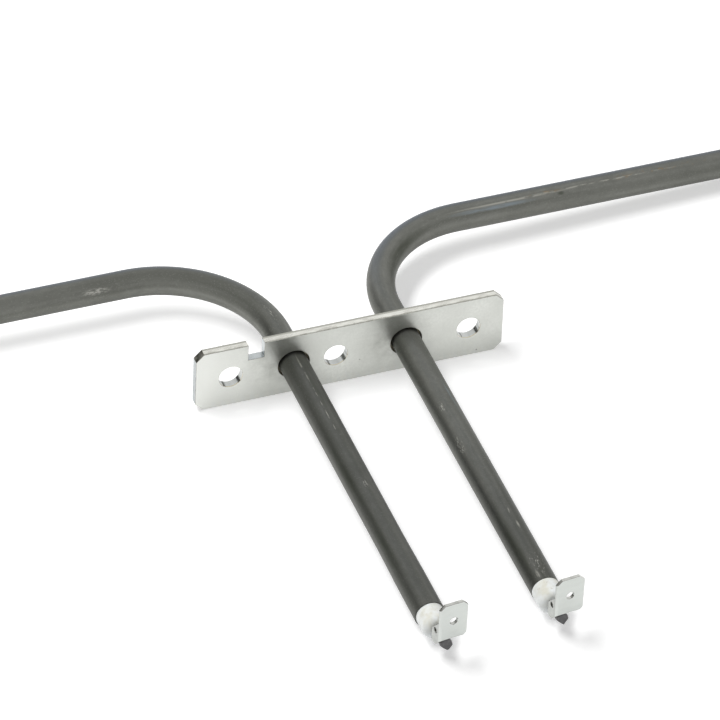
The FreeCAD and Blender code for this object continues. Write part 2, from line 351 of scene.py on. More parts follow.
def add_dark_card():
    """A grey card low behind the part, seen in the metal alone, as a dark studio wall is."""
    bm = bmesh.new()
    bmesh.ops.create_grid(bm, x_segments=1, y_segments=1, size=0.5)
    bmesh.ops.scale(bm, vec=(*CARD_SIZE, 1), verts=bm.verts)
    towards = Vector((-CARD_PLACE[0], -CARD_PLACE[1], 0))
    upright = towards.to_track_quat("Z", "Y").to_matrix().to_4x4()
    bmesh.ops.transform(bm, matrix=Matrix.Translation(CARD_PLACE) @ upright, verts=bm.verts)
    material, tree = new_material("card_grey")
    put_on_surface(tree, add_node(tree, "ShaderNodeBsdfDiffuse", Color=CARD_COLOUR))
    card = object_from(bm, "dark_card", [material])
    card.visible_camera = False
    card.visible_shadow = False
    card.visible_diffuse = False


add_dark_card()
print("dark card of", CARD_SIZE, "m")

# %% [markdown]
# ## Helpers for meshes
#
# A piece's mesh is made in its place, its object stays at the origin. `keep_piece` turns a
# bmesh into such an object, hides the solid that it stands for, and gives it its finish.

# %% Keep a piece
def keep_piece(bm, name, stands_for, materials):
    piece = object_from(bm, name, materials)
    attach(piece, "root")
    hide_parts(stands_for)
    print(f"{name}: {len(piece.data.polygons)} faces")
    return piece


def smooth_all(piece):
    piece.data.polygons.foreach_set("use_smooth", [True] * len(piece.data.polygons))


def smooth_round(piece, sharpest):
    """Smooth shading for a turned piece, with a hard line where it turns by more degrees."""
    smooth_all(piece)
    piece.data.set_sharp_from_angle(angle=math.radians(sharpest))


def smooth_flats(piece):
    """Smooth shading that keeps wide faces flat next to their rounded edges."""
    smooth_all(piece)
    modifier = piece.modifiers.new("even_flats", "WEIGHTED_NORMAL")
    modifier.weight = 100


# %% [markdown]
# ## Shared patterns
#
# Three effects come back in several finishes: drawing lines that run along the metal, fine
# grain, and a worn patch, which breaks up a soft-edged reach with noise and serves for
# scratches, specks, stains and smoke. Each is a node group with named inputs, built once.

# %% Helpers for node groups
def new_group(name, inputs, outputs):
    """An empty group with its own inputs and outputs, given as (name, kind, default)."""
    tree = bpy.data.node_groups.new(name, "ShaderNodeTree")
    for label, kind, default in inputs:
        socket = tree.interface.new_socket(
            name=label, in_out="INPUT", socket_type=f"NodeSocket{kind}"
        )
        socket.default_value = default
    for label in outputs:
        tree.interface.new_socket(name=label, in_out="OUTPUT", socket_type="NodeSocketFloat")
    print("group", name, "puts out", ", ".join(outputs))
    return tree, tree.nodes.new("NodeGroupInput"), tree.nodes.new("NodeGroupOutput")


def put_group(tree, group, place, **values):
    """Place a group in a tree and set its inputs, with _ for a space in their names."""
    node = tree.nodes.new("ShaderNodeGroup")
    node.node_tree = group
    tree.links.new(place, node.inputs["Vector"])
    for name, value in values.items():
        node.inputs[name.replace("_", " ")].default_value = value
    return node


def stretched_noise(tree, place, cells, detail, rough):
    """Noise with so many cells per metre in x, y and z."""
    mapping = add_node(tree, "ShaderNodeMapping", Scale=cells)
    grain = add_node(tree, "ShaderNodeTexNoise", Scale=1.0, Detail=detail, Roughness=rough)
    tree.links.new(place, mapping.inputs["Vector"])
    tree.links.new(mapping.outputs[0], grain.inputs["Vector"])
    return grain.outputs[0]


def noise_patches(tree, place, cells, detail, rough, low, high):
    """Such noise as patches: 0 below low, 1 above high."""
    return window(tree, stretched_noise(tree, place, cells, detail, rough), low, high)


print("groups before the first pattern:", len(bpy.data.node_groups))

# %% Drawing lines
def make_drawing_lines():
    """Lines along y, as a drawn tube or rolled strip has them."""
    tree, given, made = new_group(
        "drawing_lines", [("Vector", "Vector", (0, 0, 0))], ("Lines", "Bands")
    )
    place = given.outputs["Vector"]
    fine = noise_patches(tree, place, (1600, 14, 1600), 3.0, 0.6, 0.3, 0.7)
    wide = noise_patches(tree, place, (330, 7, 330), 2.0, 0.5, 0.36, 0.64)
    tree.links.new(fine, made.inputs["Lines"])
    tree.links.new(wide, made.inputs["Bands"])
    return tree


DRAWING_LINES = make_drawing_lines()

# %% Fine grain
PIT_CELLS = 210.0
PIT_SOFTNESS = 0.03


def make_fine_grain():
    """Even small grain, soft clouds, and a few dark pits."""
    tree, given, made = new_group(
        "fine_grain",
        [("Vector", "Vector", (0, 0, 0)), ("Pit size", "Float", 0.07)],
        ("Grain", "Clouds", "Pits"),
    )
    place = given.outputs["Vector"]
    grain = noise_patches(tree, place, (4200, 4200, 4200), 3.0, 0.6, 0.3, 0.7)
    clouds = noise_patches(tree, place, (110, 110, 110), 3.0, 0.55, 0.3, 0.7)
    cells = add_node(tree, "ShaderNodeTexVoronoi", Scale=PIT_CELLS)
    tree.links.new(place, cells.inputs["Vector"])
    pit = calculate(tree, "SUBTRACT", given.outputs["Pit size"], cells.outputs["Distance"])
    tree.links.new(grain, made.inputs["Grain"])
    tree.links.new(clouds, made.inputs["Clouds"])
    tree.links.new(window(tree, pit, 0.0, PIT_SOFTNESS), made.inputs["Pits"])
    return tree


FINE_GRAIN = make_fine_grain()

# %% Worn patch
PATCH_FADE = 0.7


def calculate_place(tree, operation, *values):
    """One step of arithmetic with places. A length comes out as a number."""
    step = add_node(tree, "ShaderNodeVectorMath", operation=operation)
    for slot, value in zip(step.inputs, values):
        feed(tree, slot, value)
    return step.outputs["Value" if operation == "LENGTH" else "Vector"]


def make_worn_patch():
    """Marks round a place: broken up by noise inside a soft-edged reach, given as a vector."""
    tree, given, made = new_group(
        "worn_patch",
        [
            ("Vector", "Vector", (0, 0, 0)),
            ("Place", "Vector", (0, 0, 0)),
            ("Reach", "Vector", (0.002, 0.01, 0.002)),
            ("Cells", "Vector", (1500, 420, 1500)),
            ("Cover", "Float", 0.5),
            ("Softness", "Float", 0.12),
        ],
        ("Marks",),
    )
    ask = given.outputs
    away = calculate_place(tree, "SUBTRACT", ask["Vector"], ask["Place"])
    share = calculate_place(tree, "DIVIDE", away, ask["Reach"])
    far = calculate_place(tree, "LENGTH", share)
    near = window(tree, calculate(tree, "SUBTRACT", 1.0, far), 0.0, PATCH_FADE)
    cells = calculate_place(tree, "MULTIPLY", ask["Vector"], ask["Cells"])
    torn = add_node(tree, "ShaderNodeTexNoise", Scale=1.0, Detail=4.0, Roughness=0.65)
    tree.links.new(cells, torn.inputs["Vector"])
    gap = calculate(tree, "SUBTRACT", 1.0, ask["Cover"])
    shown = calculate(tree, "SUBTRACT", torn.outputs[0], gap)
    shown = calculate(tree, "DIVIDE", shown, ask["Softness"])
    clear = add_node(tree, "ShaderNodeClamp")
    tree.links.new(shown, clear.inputs[0])
    marks = calculate(tree, "MULTIPLY", near, clear.outputs[0])
    tree.links.new(marks, made.inputs["Marks"])
    return tree


WORN_PATCH = make_worn_patch()

# %% [markdown]
# ## Finish of the sheath
#
# The tube is drawn steel that has been annealed: dark, satin and warm grey, with faint lines
# along it and a painted bluish reflection on the side turned away from the plate. The pattern
# has to follow the tube round its bends, so it doesn't read the place in space but an attribute,
# `straight_place`, which says where each point would lie if the tube were straightened along y.
# Handling has left pale scratches, a few rusty specks and dark streaks; each is a worn patch.
# The dark streaks along the legs' upper left side are painted dark reflection, and one darkens
# the inner side of the right bend.

# %% Route of the tube, needed to place marks along it
ARC = math.pi / 2
BEND_STEPS = 28
STRIDE = 12 * MM
SHORT_STRIDE = 4 * MM
LEFT_LEG = RUN_Y - LEFT_BEND - TUBE_END_Y
RIGHT_LEG = RUN_Y - BEND - TUBE_END_Y
LEFT_RUN = SIDE_X + LEG_X["left"] - LEFT_BEND - BEND
RIGHT_RUN = SIDE_X - LEG_X["right"] - 2 * BEND
DEPTH = FAR_Y - RUN_Y - 2 * BEND
WIDTH = 2 * SIDE_X - 2 * BEND


def add_straight(stations, length, stride=STRIDE):
    matrix, along = stations[-1]
    steps = max(1, round(length / stride))
    for step in range(1, steps + 1):
        gone = length * step / steps
        stations.append((matrix @ Matrix.Translation((0, gone, 0)), along + gone))


def add_bend(stations, radius, angle):
    """Turn left for a positive angle, about a centre beside the last station."""
    matrix, along = stations[-1]
    to_centre = Matrix.Translation((-math.copysign(radius, angle), 0, 0))
    for step in range(1, BEND_STEPS + 1):
        turn = Matrix.Rotation(angle * step / BEND_STEPS, 4, "Z")
        turned = matrix @ to_centre @ turn @ to_centre.inverted()
        stations.append((turned, along + radius * abs(angle) * step / BEND_STEPS))


def loop_route():
    """Stations from the left leg's end, round the loop, to the right leg's end."""
    stations = [(Matrix.Translation((LEG_X["left"], TUBE_END_Y, 0)), 0.0)]
    add_straight(stations, LEFT_LEG, SHORT_STRIDE)
    add_bend(stations, LEFT_BEND, ARC)
    add_straight(stations, LEFT_RUN)
    for length in (DEPTH, WIDTH, DEPTH, RIGHT_RUN):
        add_bend(stations, BEND, -ARC)
        add_straight(stations, length)
    add_bend(stations, BEND, ARC)
    add_straight(stations, RIGHT_LEG)
    return stations


route = loop_route()
last_station, TUBE_LENGTH = route[-1]
print(f"{len(route)} stations over {TUBE_LENGTH:.4f} m, the last one at",
      [round(v / MM, 2) for v in last_station.translation])

# %% Marks of use
# Each kind has its colour, strength, noise cells and softness, and then its marks: the side,
# mm from the leg's end, the angle, the reach round and along the tube in mm, and the cover.
MARKS = {
    "dark streaks and painted dark reflection": ((0.064, 0.069, 0.054, 1), 0.8, (420, 60, 420), 0.30, [
        # The marks at 141 and 138 degrees paint the dark reflection along the legs' upper left
        # side; the one 114 mm from the right end darkens the inner side of the right bend.
        ("left", 20, 141, 1.3, 22, 0.70),
        ("left", 46, 141, 1.3, 20, 0.68),
        ("right", 12, 138, 1.4, 18, 0.66),
        ("right", 161, 54, 0.65, 1.1, 0.70),
        ("right", 114, 38, 2.0, 15, 0.78),
        ("right", 3, 100, 2.4, 5, 0.58),
        ("left", 76, 75, 1.2, 12, 0.60),
    ]),
    "blue scuffs": ((0.205, 0.235, 0.252, 1), 1.0, (900, 120, 900), 0.20, [
        ("right", 145, 50, 0.6, 12, 0.72),
        ("right", 66, 60, 0.5, 12, 0.55),
    ]),
    "rust stains": ((0.215, 0.170, 0.115, 1), 1.0, (1500, 700, 1500), 0.12, [
        ("right", 158, 69, 0.6, 5, 0.50),
        ("right", 183, 70, 0.8, 16, 0.46),
    ]),
    "pale scratches": ((0.40, 0.395, 0.355, 1), 0.7, (1700, 330, 1700), 0.10, [
        ("left", 80, 91, 0.24, 6, 0.60),
        ("left", 66, 91, 0.15, 15, 0.50),
        ("right", 149, 64, 0.33, 17, 0.64),
        ("right", 170, 68, 0.27, 24, 0.54),
        ("right", 1.8, 112, 0.4, 1.6, 0.56),
        ("right", 18, 82, 0.3, 1.5, 0.60),
        ("right", 23.5, 89, 0.3, 2.2, 0.58),
    ]),
    "specks": ((0.50, 0.495, 0.455, 1), 0.7, (3900, 1050, 3900), 0.10, [
        ("left", 40, 89, 0.5, 1.6, 0.52),
        ("left", 145, 145, 0.9, 3.6, 0.56),
        ("left", 99, 92, 1.2, 5.0, 0.42),
        ("right", 59, 119, 0.7, 2.2, 0.50),
        ("right", 46.5, 132, 1.0, 4.0, 0.48),
        ("right", 88, 84, 0.6, 2.0, 0.52),
        ("right", 5.0, 96, 1.8, 5.0, 0.43),
        ("right", 6.0, 70, 1.2, 4.5, 0.42),
    ]),
}


def on_tube(side, along, degrees):
    """Straightened place of a mark: distance from the leg's end, angle seen along the way in."""
    angle = math.radians(degrees if side == "left" else 180 - degrees)
    along = along * MM if side == "left" else TUBE_LENGTH - along * MM
    return (TUBE_RADIUS * math.cos(angle), along, TUBE_RADIUS * math.sin(angle))


def marks_mask(tree, place, marks, cells, softness):
    """The strongest of several worn patches."""
    total = None
    for side, along, degrees, round_reach, along_reach, cover in marks:
        patch = put_group(
            tree, WORN_PATCH, place,
            Place=on_tube(side, along, degrees),
            Reach=(round_reach * MM, along_reach * MM, round_reach * MM),
            Cells=cells,
            Cover=cover,
            Softness=softness,
        )
        mask = patch.outputs["Marks"]
        total = mask if total is None else calculate(tree, "MAXIMUM", total, mask)
    return total


print("marks:", ", ".join(f"{len(kind[-1])} {name}" for name, kind in MARKS.items()))

# %% Common shader steps
def blend_colours(tree, share, first, second, way="MIX"):
    """Lay one colour over another. Share and colours are sockets or plain values."""
    mix = add_node(tree, "ShaderNodeMix", data_type="RGBA", blend_type=way)
    for slot, value in zip((mix.inputs[0], mix.inputs[6], mix.inputs[7]), (share, first, second)):
        feed(tree, slot, value)
    return mix.outputs[2]


def lay_over(tree, colour, over, mask, strength):
    """Lay a second colour over the first where the mask is high, no denser than strength."""
    share = mask if strength == 1 else calculate(tree, "MULTIPLY", mask, strength)
    return blend_colours(tree, share, colour, over)


def between_values(tree, share, low, high):
    """Low where the share is 0, high where it is 1."""
    return calculate(tree, "MULTIPLY_ADD", share, high - low, low)


def raised_by(tree, height, distance):
    bump = add_node(tree, "ShaderNodeBump", Strength=1.0, Distance=distance)
    tree.links.new(height, bump.inputs["Height"])
    return bump.outputs[0]


def finish_surface(tree, colour, roughness, normal, metallic):
    """A Principled shader whose inputs are given as sockets or plain values."""
    shader = add_node(tree, "ShaderNodeBsdfPrincipled")
    given = {"Base Color": colour, "Roughness": roughness, "Normal": normal, "Metallic": metallic}
    for name, value in given.items():
        feed(tree, shader.inputs[name], value)
    put_on_surface(tree, shader)
    return shader


print("groups ready:", ", ".join(group.name for group in bpy.data.node_groups))

# %% Sheath steel
STEEL = (0.164, 0.167, 0.150, 1)
STEEL_PALE = (0.228, 0.231, 0.213, 1)
STEEL_DARK = (0.112, 0.115, 0.101, 1)
# Colour of the painted blue reflection on the side turned to the rear.
STEEL_BLUE_REFLECTION = (0.120, 0.141, 0.170, 1)
# The legs are multiplied by this near their ends, so they read darker.
LEG_END_TONE = 0.72


def make_sheath_steel():
    material, tree = new_material("sheath_steel")
    place = add_node(tree, "ShaderNodeAttribute", attribute_name="straight_place")
    painted_blue_reflection = add_node(tree, "ShaderNodeAttribute", attribute_name="painted_blue_reflection")
    leg_end = add_node(tree, "ShaderNodeAttribute", attribute_name="darker_leg_end")
    place = place.outputs["Vector"]
    lines = put_group(tree, DRAWING_LINES, place)
    grain = put_group(tree, FINE_GRAIN, place)
    mottle = noise_patches(tree, place, (1150, 520, 1150), 4.0, 0.68, 0.35, 0.65)
    dust = noise_patches(tree, place, (3600, 2400, 3600), 2.0, 0.6, 0.56, 0.70)
    colour = blend_colours(tree, lines.outputs["Bands"], STEEL_DARK, STEEL_PALE)
    colour = blend_colours(tree, 0.10, colour, STEEL)
    colour = lay_over(tree, colour, STEEL_PALE, lines.outputs["Lines"], 0.26)
    colour = lay_over(tree, colour, STEEL_DARK, grain.outputs["Clouds"], 0.42)
    colour = lay_over(tree, colour, STEEL_DARK, mottle, 0.34)
    colour = lay_over(tree, colour, STEEL_PALE, dust, 0.45)
    # Painted reflection: a bluish tint where the tube faces the rear and up.
    colour = blend_colours(tree, painted_blue_reflection.outputs["Fac"], colour, STEEL_BLUE_REFLECTION)
    # Darker towards the legs' ends.
    shade = between_values(tree, leg_end.outputs["Fac"], 1.0, LEG_END_TONE)
    colour = blend_colours(tree, 1.0, colour, shade, "MULTIPLY")
    for mark_colour, strength, cells, softness, marks in MARKS.values():
        mask = marks_mask(tree, place, marks, cells, softness)
        colour = lay_over(tree, colour, mark_colour, mask, strength)
    rough = between_values(tree, lines.outputs["Lines"], 0.42, 0.54)
    height = calculate(tree, "ADD", lines.outputs["Lines"], grain.outputs["Grain"])
    finish_surface(tree, colour, rough, raised_by(tree, height, 0.006 * MM), 1.0)
    return material


sheath_steel = make_sheath_steel()

# %% [markdown]
# ## The sheath
#
# A swept tube can be a bevelled curve, but a curve keeps no straightened place for the
# pattern. Here one ring is extruded from station to station along the route: few stations on
# a straight, many in a bend. The outer skin, the end faces and the bore are one closed shell.

# %% Sweep a skin
ROUND_STEPS = 72


def sweep_skin(bm, place, radius):
    """Extrude one ring along the route and note where each point lies on the straight tube."""
    made = bmesh.ops.create_circle(bm, segments=ROUND_STEPS, radius=radius)
    bmesh.ops.transform(bm, matrix=Matrix.Rotation(math.pi / 2, 4, "X"), verts=made["verts"])
    for vert in made["verts"]:
        vert[place] = vert.co.copy()
    ring = list(dict.fromkeys(edge for vert in made["verts"] for edge in vert.link_edges))
    first = ring
    bmesh.ops.transform(bm, matrix=route[0][0], verts=made["verts"])
    for (before, _), (matrix, along) in zip(route, route[1:]):
        grown = bmesh.ops.extrude_edge_only(bm, edges=ring)["geom"]
        verts = [g for g in grown if isinstance(g, bmesh.types.BMVert)]
        ring = [g for g in grown if isinstance(g, bmesh.types.BMEdge)]
        bmesh.ops.transform(bm, matrix=matrix @ before.inverted(), verts=verts)
        for vert in verts:
            vert[place] = Vector((vert[place].x, along, vert[place].z))
    return first, ring


print("a skin will have", ROUND_STEPS * (len(route) - 1), "faces")

# %% Painted blue reflection, darker leg ends and the swollen end
# The painted blue reflection falls on faces turned this way, to the rear and up.
BLUE_REFLECTION_FROM = Vector((-0.12, 0.72, 0.68))
BLUE_REFLECTION_SPAN = (0.62, 1.0)
BLUE_REFLECTION_STRENGTH = 0.85
# Over which distances from each leg's end the darkening of the legs fades out.
LEG_END_FADE = {"left": (78 * MM, 92 * MM), "right": (18 * MM, 62 * MM)}
SWELL_START, SWELL_FULL, SWELL = 26 * MM, 8 * MM, 1.05


def smooth_step(value, low, high):
    share = share_between(value, low, high)
    return share * share * (3 - 2 * share)


def mark_sides(bm, place, painted_blue_reflection, leg_end):
    """Note the painted blue reflection where a point turns to the rear, and how near it is to a
    leg's end.
    """
    for vert in bm.verts:
        facing = vert.normal.dot(BLUE_REFLECTION_FROM.normalized())
        vert[painted_blue_reflection] = BLUE_REFLECTION_STRENGTH * smooth_step(facing, *BLUE_REFLECTION_SPAN)
        left_end, right_end = vert[place].y, TUBE_LENGTH - vert[place].y
        away_from_end = min(
            smooth_step(left_end, *LEG_END_FADE["left"]),
            smooth_step(right_end, *LEG_END_FADE["right"]),
        )
        vert[leg_end] = 1 - away_from_end


def widen(vert, side, factor):
    """Move a point away from its leg's axis."""
    vert.co.x = LEG_X[side] + (vert.co.x - LEG_X[side]) * factor
    vert.co.z *= factor


def swell_end(bm, place):
    """The left leg is a little thicker over its last millimetres, where it was cut."""
    for vert in bm.verts:
        to_go = SWELL_START - vert[place].y
        if to_go > 0:
            widen(vert, "left", 1 + (SWELL - 1) * smooth_step(to_go, 0, SWELL_START - SWELL_FULL))


print(f"the left leg swells by {(SWELL - 1) * 100:.0f} % over {SWELL_START / MM:.0f} mm")

# %% Sheath
def make_sheath():
    bm = bmesh.new()
    place = bm.verts.layers.float_vector.new("straight_place")
    painted_blue_reflection = bm.verts.layers.float.new("painted_blue_reflection")
    leg_end = bm.verts.layers.float.new("darker_leg_end")
    outer = sweep_skin(bm, place, TUBE_RADIUS)
    swell_end(bm, place)
    inner = sweep_skin(bm, place, TUBE_BORE)
    for outer_rim, inner_rim in zip(outer, inner):
        bmesh.ops.bridge_loops(bm, edges=outer_rim + inner_rim)
    bmesh.ops.recalc_face_normals(bm, faces=bm.faces)
    bm.normal_update()
    mark_sides(bm, place, painted_blue_reflection, leg_end)
    piece = keep_piece(bm, "bent_sheath", "sheath", [sheath_steel])
    smooth_round(piece, 50)


make_sheath()

# %% [markdown]
# ## Plated sheet
#
# The plate is blanked from sheet and zinc plated, and wears six finishes. Its face is dull and
# pale, brighter towards its left end, with soft dark clouds painted round the legs as their
# painted reflection and shade. Its edges were sheared: the middle of each edge is pale between
# two darker zones, where the punch began and where the sheet broke, and the rims on both sides
# are rolled over, rough and darker, partly from their burr and partly as painted dark reflection;
# the leg holes wear the same dark finish as painted shade. The notch and the two ends were cut
# clean, and the ends wear a darker copy of the clean cut as painted shade. The screw holes'
# walls are smooth, yellowed at their front rim, and painted darker at the lower left as painted
# shade.

# %% Face of the plate
ZINC = (0.665, 0.677, 0.640, 1)
ZINC_DULL = (0.555, 0.566, 0.532, 1)
# Lighter zinc towards the plate's left end.
ZINC_LEFT_BRIGHT = (0.75, 0.76, 0.725, 1)
ZINC_PIT = (0.22, 0.22, 0.20, 1)
# Colour of the painted reflection and shade of the legs round their holes.
ZINC_LEG_SHADE = (0.27, 0.275, 0.25, 1)
LEFT_BRIGHT_SPAN = (-17 * MM, -33 * MM)
LEG_SHADE_SHIFT = Vector((-3.0, 0, 0.6)) * MM
LEG_SHADE_REACH = (10 * MM, 6 * MM, 8.5 * MM)


def painted_shade_over(tree, place, colour, over, strength, middle, reach):
    """A soft dark cloud round one place, laid on as painted shade."""
    cloud = put_group(
        tree, WORN_PATCH, place, Place=middle, Reach=reach,
        Cells=(260, 260, 260), Cover=0.75, Softness=0.6,
    )
    return lay_over(tree, colour, over, cloud.outputs["Marks"], strength)


def make_plate_zinc():
    material, tree = new_material("plate_zinc")
    place = object_place(tree)
    grain = put_group(tree, FINE_GRAIN, place, Pit_size=0.055)
    mottle = noise_patches(tree, place, (1500, 1500, 1500), 3.0, 0.6, 0.38, 0.62)
    left_bright = window(tree, split_place(tree, place)["X"], *LEFT_BRIGHT_SPAN)
    colour = blend_colours(tree, grain.outputs["Clouds"], ZINC_DULL, ZINC)
    colour = lay_over(tree, colour, ZINC_DULL, mottle, 0.55)
    colour = lay_over(tree, colour, ZINC_LEFT_BRIGHT, left_bright, 0.85)
    # Painted reflection and shade of the legs round their holes.
    for x in LEG_X.values():
        middle = Vector((x, 0, 0)) + LEG_SHADE_SHIFT
        colour = painted_shade_over(tree, place, colour, ZINC_LEG_SHADE, 0.8, middle, LEG_SHADE_REACH)
    colour = blend_colours(tree, grain.outputs["Pits"], colour, ZINC_PIT)
    rough = between_values(tree, grain.outputs["Grain"], 0.27, 0.37)
    finish_surface(tree, colour, rough, raised_by(tree, grain.outputs["Grain"], 0.010 * MM), 1.0)
    return material


plate_zinc = make_plate_zinc()

# %% Cut edges of the plate
# Each has its darker and paler colour, its noise cells and its roughness.
EDGE_METALS = {
    "sheared_edge": ((0.58, 0.575, 0.53, 1), (0.80, 0.80, 0.745, 1), (420, 900, 420), 0.28),
    # The rolled rim is partly its real dark burr and partly painted dark reflection; the leg holes
    # wear it as painted shade.
    "rolled_rim_and_painted_shade": ((0.13, 0.13, 0.105, 1), (0.38, 0.375, 0.33, 1), (800, 900, 800), 0.32),
    "clean_cut": ((0.42, 0.45, 0.455, 1), (0.53, 0.56, 0.565, 1), (600, 300, 600), 0.28),
    # The ends wear a darker copy of the clean cut, as painted shade.
    "end_cut_painted_shade": ((0.345, 0.37, 0.375, 1), (0.43, 0.46, 0.465, 1), (600, 300, 600), 0.28),
}
SHEAR_ZONE = (0.33, 0.33, 0.29, 1)
REAR_ZONE = (1.60 * MM, 1.80 * MM)
FRONT_ZONE = (0.72 * MM, 0.52 * MM)
ZONE_WANDER = 0.5 * MM


def shear_zones(tree, place, torn):
    """Two uneven strips, where the punch began and where the sheet broke."""
    uneven = calculate(tree, "MULTIPLY_ADD", torn, ZONE_WANDER, split_place(tree, place)["Y"])
    rear = window(tree, uneven, *REAR_ZONE)
    return calculate(tree, "MAXIMUM", rear, window(tree, uneven, *FRONT_ZONE))


def make_edge_metal(name, darker, paler, cells, roughness, zones=False):
    """Torn metal, with or without the zones of a sheared edge."""
    material, tree = new_material(name)
    place = object_place(tree)
    torn = stretched_noise(tree, place, cells, 4.0, 0.6)
    colour = blend_colours(tree, window(tree, torn, 0.35, 0.62), darker, paler)
    if zones:
        colour = lay_over(tree, colour, SHEAR_ZONE, shear_zones(tree, place, torn), 0.8)
    rough = between_values(tree, torn, roughness - 0.1, roughness + 0.1)
    finish_surface(tree, colour, rough, raised_by(tree, torn, 0.02 * MM), 1.0)
    return material


edge_metals = {
    name: make_edge_metal(name, *values, zones=name == "sheared_edge")
    for name, values in EDGE_METALS.items()
}

# %% Walls of the screw holes
WALL_PALE = (0.57, 0.585, 0.57, 1)
WALL_DRAGGED = (0.42, 0.435, 0.425, 1)
WALL_PAINTED_SHADE = (0.25, 0.26, 0.255, 1)
WALL_YELLOW = (0.62, 0.57, 0.42, 1)
WALL_ROUGHNESS = 0.2
YELLOW_SPAN = (0.45 * MM, 0.1 * MM)
WALL_SHADE_REACH = (2.2 * MM, 4 * MM, 2.2 * MM)
WALL_SHADE_SIDE, WALL_SHADE_DROP = 0.93, 0.36
SCREW_HOLES = [(x * MM, 2.75 * MM) for x in (-27.5, -3.3, 27.5)]


def make_hole_wall():
    """A smooth punched wall, dragged a little along y, with painted shade at its lower left."""
    material, tree = new_material("punched_wall")
    place = object_place(tree)
    front = window(tree, split_place(tree, place)["Y"], *YELLOW_SPAN)
    drag = stretched_noise(tree, place, (450, 120, 450), 3.0, 0.6)
    colour = blend_colours(tree, window(tree, drag, 0.3, 0.7), WALL_DRAGGED, WALL_PALE)
    for x, radius in SCREW_HOLES:
        # Painted shade at the lower left of each screw hole's wall.
        middle = (x - radius * WALL_SHADE_SIDE, 1 * MM, -radius * WALL_SHADE_DROP)
        colour = painted_shade_over(tree, place, colour, WALL_PAINTED_SHADE, 0.85, middle, WALL_SHADE_REACH)
    colour = lay_over(tree, colour, WALL_YELLOW, front, 0.7)
    finish_surface(tree, colour, WALL_ROUGHNESS, raised_by(tree, drag, 0.01 * MM), 1.0)
    return material


PLATE_WEARS = {
    "face": plate_zinc,
    "edge": edge_metals["sheared_edge"],
    "rim": edge_metals["rolled_rim_and_painted_shade"],
    "wall": make_hole_wall(),
    "notch": edge_metals["clean_cut"],
    "end": edge_metals["end_cut_painted_shade"],
}

# %% Soften a solid's edges
MERGE_DISTANCE = 0.001 * MM
FLAT_ANGLE = math.radians(0.5)
SHARP_ANGLE = math.radians(30)


def softened_copy(node, radius, segments=3):
    """A bmesh of a solid's own mesh, merged, with every sharp edge rounded."""
    bm = bmesh.new()
    bm.from_mesh(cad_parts[node].data)
    bmesh.ops.remove_doubles(bm, verts=bm.verts, dist=MERGE_DISTANCE)
    bmesh.ops.dissolve_limit(bm, angle_limit=FLAT_ANGLE, verts=bm.verts, edges=bm.edges)
    sharp = [e for e in bm.edges if e.is_manifold and e.calc_face_angle() > SHARP_ANGLE]
    bmesh.ops.bevel(
        bm, geom=sharp, offset=radius, segments=segments, affect="EDGES",
        profile=0.5, material=-1, clamp_overlap=True,
    )
    bmesh.ops.recalc_face_normals(bm, faces=bm.faces)
    bm.normal_update()
    print(f"{node}: {len(sharp)} sharp edges rounded by {radius / MM:.2f} mm")
    return bm


PLATE_ROUNDING = 0.25 * MM
plate_shape = softened_copy("mounting_plate", PLATE_ROUNDING)

# %% Plate: how squarely a face has to look along an axis, from a slant to a broad side
LEG_HOLE_RADIUS = 3.65 * MM
LEG_HOLES = [(x, LEG_HOLE_RADIUS) for x in LEG_X.values()]
SLANTED, CHAMFERED, SQUARE, BROAD = 0.2, 0.3, 0.9, 0.93
INSET = 1 * MM


def plate_region(face):
    """Which of the plate's six finishes a face wears, by where it looks and lies."""
    centre = face.calc_center_median()
    across = abs(face.normal.y)
    if across > BROAD:
        return "face"
    # Leg holes take the dark rim finish as painted shade in the gap round the tube.
    for holes, finish in ((SCREW_HOLES, "wall"), (LEG_HOLES, "rim")):
        for x, radius in holes:
            if math.hypot(centre.x - x, centre.z) < radius + PLATE_ROUNDING:
                return finish
    left_chamfer = face.normal.x < -CHAMFERED and face.normal.z > CHAMFERED
    if across >= SLANTED or left_chamfer:
        return "rim"
    if abs(face.normal.x) > SQUARE:
        return "end" if abs(centre.x) > plate_high.x - INSET else "notch"
    in_notch = face.normal.z > SQUARE and centre.z < plate_high.z - INSET
    return "notch" if in_notch else "edge"


def dress_faces(bm, wears, region, *places):
    """Give each face the number of the finish that its region names."""
    for face in bm.faces:
        face.material_index = list(wears).index(region(face, *places))


dress_faces(plate_shape, PLATE_WEARS, plate_region)
smooth_flats(keep_piece(
    plate_shape, "screw_plate", "mounting_plate", PLATE_WEARS.values()
))

# %% [markdown]
# ## Ceramic beads
#
# A steatite bead closes each leg. It is turned and fired: white, faintly glossy, and a little
# cream towards its top. Its section is drawn once and spun.

# %% Ceramic
CERAMIC_WHITE = (0.92, 0.95, 0.95, 1)
CERAMIC_CREAM = (0.76, 0.75, 0.66, 1)
CERAMIC_SMUT = (0.48, 0.44, 0.36, 1)
CREAM_SPAN = (-1.0 * MM, 2.6 * MM)


def make_ceramic():
    material, tree = new_material("bead_ceramic")
    place = object_place(tree)
    high = window(tree, split_place(tree, place)["Z"], *CREAM_SPAN)
    lumps = stretched_noise(tree, place, (500, 500, 500), 2.0, 0.5)
    cloud = calculate(tree, "MULTIPLY", high, window(tree, lumps, 0.3, 0.65))
    colour = blend_colours(tree, cloud, CERAMIC_WHITE, CERAMIC_CREAM)
    smut = noise_patches(tree, place, (900, 900, 900), 3.0, 0.6, 0.60, 0.74)
    colour = lay_over(tree, colour, CERAMIC_SMUT, smut, 0.5)
    shader = finish_surface(tree, colour, 0.38, raised_by(tree, lumps, 0.12 * MM), 0.0)
    shader.inputs["Coat Weight"].default_value = 0.25
    shader.inputs["Coat Roughness"].default_value = 0.2
    return material


bead_ceramic = make_ceramic()

